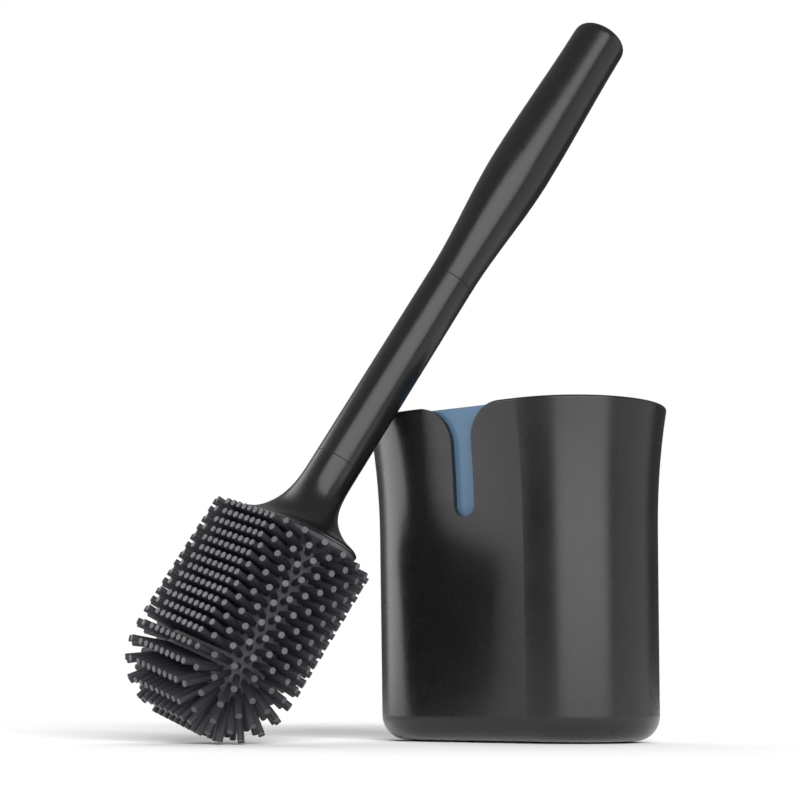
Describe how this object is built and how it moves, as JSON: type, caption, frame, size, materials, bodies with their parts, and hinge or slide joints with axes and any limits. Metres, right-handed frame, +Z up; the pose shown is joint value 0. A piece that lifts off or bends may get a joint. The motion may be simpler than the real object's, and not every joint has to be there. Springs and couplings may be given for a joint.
{
  "type": "toilet brush holder",
  "caption": "Oblong flared cup with a notched front wall and a lift-out liner, and a soft-bristled toilet brush with a screwed handle that leans on its rim.",
  "frame": {"origin": "centre of the underside of the holder's non-slip pad, on the floor", "axes": "+Z up; the notched broad side of the holder faces -Y and its long way runs along X; the brush stands front left and leans over the mouth"},
  "size_m": [0.2049, 0.1893, 0.3478],
  "materials": {
    "holder_plastic": "black satin moulded polypropylene",
    "liner_plastic": "steel-blue matt moulded polypropylene",
    "pad_rubber": "black non-slip rubber",
    "bristle_rubber": "charcoal soft-touch elastomer",
    "handle_plastic": "black semi-gloss moulded plastic",
    "seal_rubber": "black rubber"
  },
  "bodies": {
    "holder": {"holder_shell": "holder_plastic", "base_pad": "pad_rubber"},
    "liner": {"inner_liner": "liner_plastic"},
    "head": {"bristle_sleeve": "bristle_rubber", "neck": "handle_plastic"},
    "lower_seal": {"lower_seal": "seal_rubber"},
    "shaft": {"shaft": "handle_plastic"},
    "upper_seal": {"upper_seal": "seal_rubber"},
    "grip": {"grip": "handle_plastic"}
  },
  "joints": [
    {"name": "brush_lift", "type": "slide", "parent": "holder", "child": "head", "axis": [0, 0, 1], "range_m": [0, 0.4]},
    {"name": "liner_lift", "type": "slide", "parent": "holder", "child": "liner", "axis": [0, 0, 1], "range_m": [0, 0.004]},
    {"name": "lower_seal_rise", "type": "slide", "parent": "head", "child": "lower_seal", "axis": [0.3295, 0.4055, 0.8526], "range_m": [0, 0.01201]},
    {"name": "shaft_unscrew", "type": "hinge", "parent": "lower_seal", "child": "shaft", "pos_m": [-0.05182, -0.06892, 0.12463], "axis": [0.3295, 0.4055, 0.8526], "range_deg": [0, 1080]},
    {"name": "upper_seal_rise", "type": "slide", "parent": "shaft", "child": "upper_seal", "axis": [0.3295, 0.4055, 0.8526], "range_m": [0, 0.01201]},
    {"name": "grip_unscrew", "type": "hinge", "parent": "upper_seal", "child": "grip", "pos_m": [-0.05182, -0.06892, 0.12463], "axis": [0.3295, 0.4055, 0.8526], "range_deg": [0, 1080]}
  ],
  "couplings": [
    {"joint": "lower_seal_rise", "follows": "shaft_unscrew", "m_per_rad": 0.00063662},
    {"joint": "upper_seal_rise", "follows": "grip_unscrew", "m_per_rad": 0.00063662}
  ]
}
